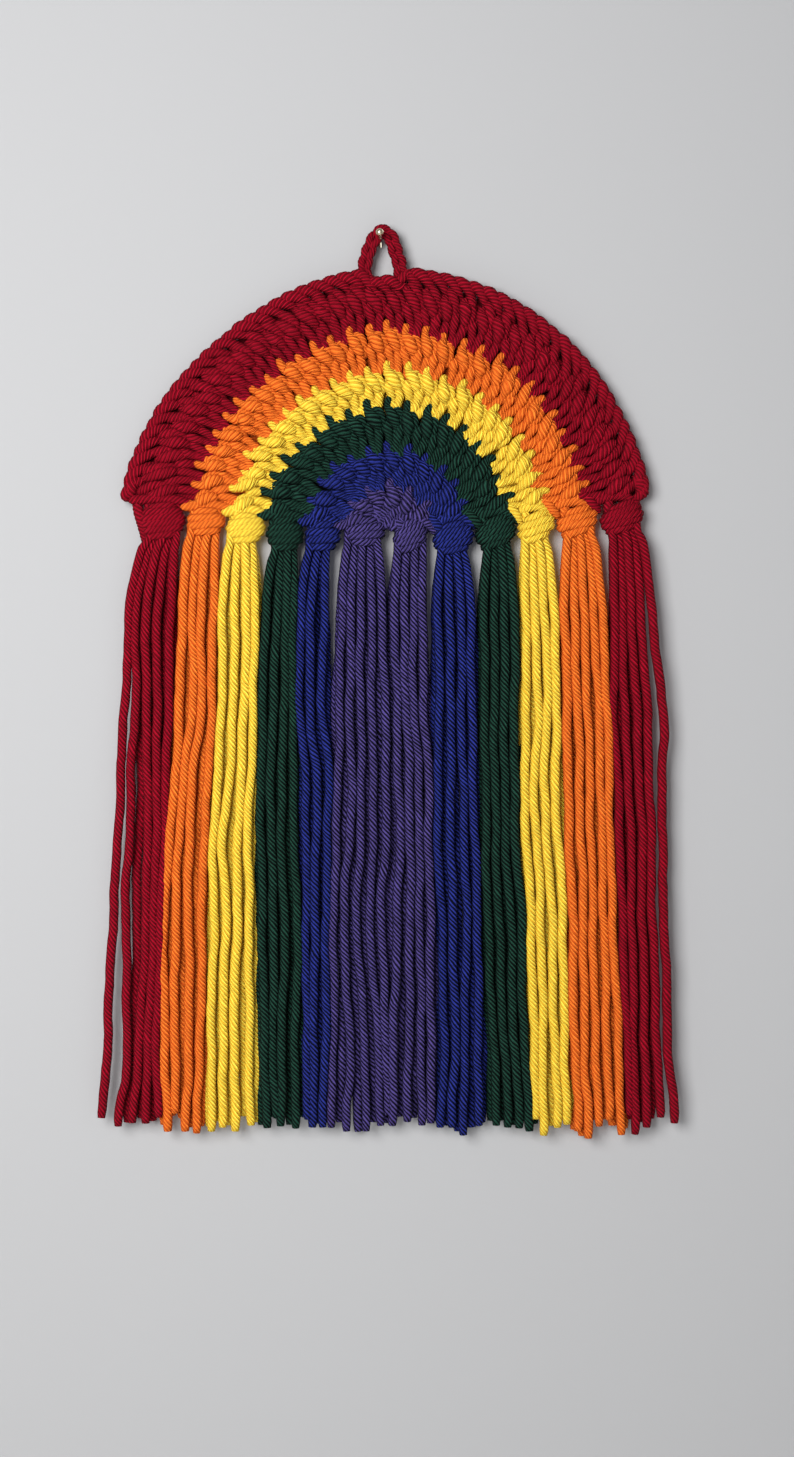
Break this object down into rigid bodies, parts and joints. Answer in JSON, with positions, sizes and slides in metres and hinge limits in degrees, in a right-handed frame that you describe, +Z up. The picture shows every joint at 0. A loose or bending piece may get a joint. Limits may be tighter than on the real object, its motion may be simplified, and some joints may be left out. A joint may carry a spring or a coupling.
{
  "type": "crochet rainbow wall hanging on a pin",
  "caption": "Half-round crochet rainbow wall hanging with a corded edging, a tassel tied into each row end, and a chain loop on a round-headed brass pin.",
  "frame": {"origin": "where the middle of the pin's shank enters the wall's face", "axes": "+Z up, +Y into the wall, so the front faces -Y, and +X to the viewer's right"},
  "size_m": [0.2067, 0.021, 0.3277],
  "materials": {
    "red_yarn": "red four-ply twisted wool-like yarn, matt and slightly fuzzy",
    "orange_yarn": "orange four-ply twisted wool-like yarn, matt and slightly fuzzy",
    "yellow_yarn": "yellow four-ply twisted wool-like yarn, matt and slightly fuzzy",
    "green_yarn": "green four-ply twisted wool-like yarn, matt and slightly fuzzy",
    "blue_yarn": "blue four-ply twisted wool-like yarn, matt and slightly fuzzy",
    "purple_yarn": "purple four-ply twisted wool-like yarn, matt and slightly fuzzy",
    "brass": "polished, slightly worn"
  },
  "bodies": {
    "root": {"row_1_purple": "purple_yarn", "row_2_blue": "blue_yarn", "row_3_green": "green_yarn", "row_4_yellow": "yellow_yarn", "row_5_orange": "orange_yarn", "row_6_red": "red_yarn", "tassel_left_red": "red_yarn", "tassel_left_orange": "orange_yarn", "tassel_left_yellow": "yellow_yarn", "tassel_left_green": "green_yarn", "tassel_left_blue": "blue_yarn", "tassel_left_purple": "purple_yarn", "tassel_right_red": "red_yarn", "tassel_right_orange": "orange_yarn", "tassel_right_yellow": "yellow_yarn", "tassel_right_green": "green_yarn", "tassel_right_blue": "blue_yarn", "tassel_right_purple": "purple_yarn", "edging_left": "red_yarn", "edging_right": "red_yarn", "hanging_loop": "red_yarn", "pin": "brass"}
  },
  "joints": []
}
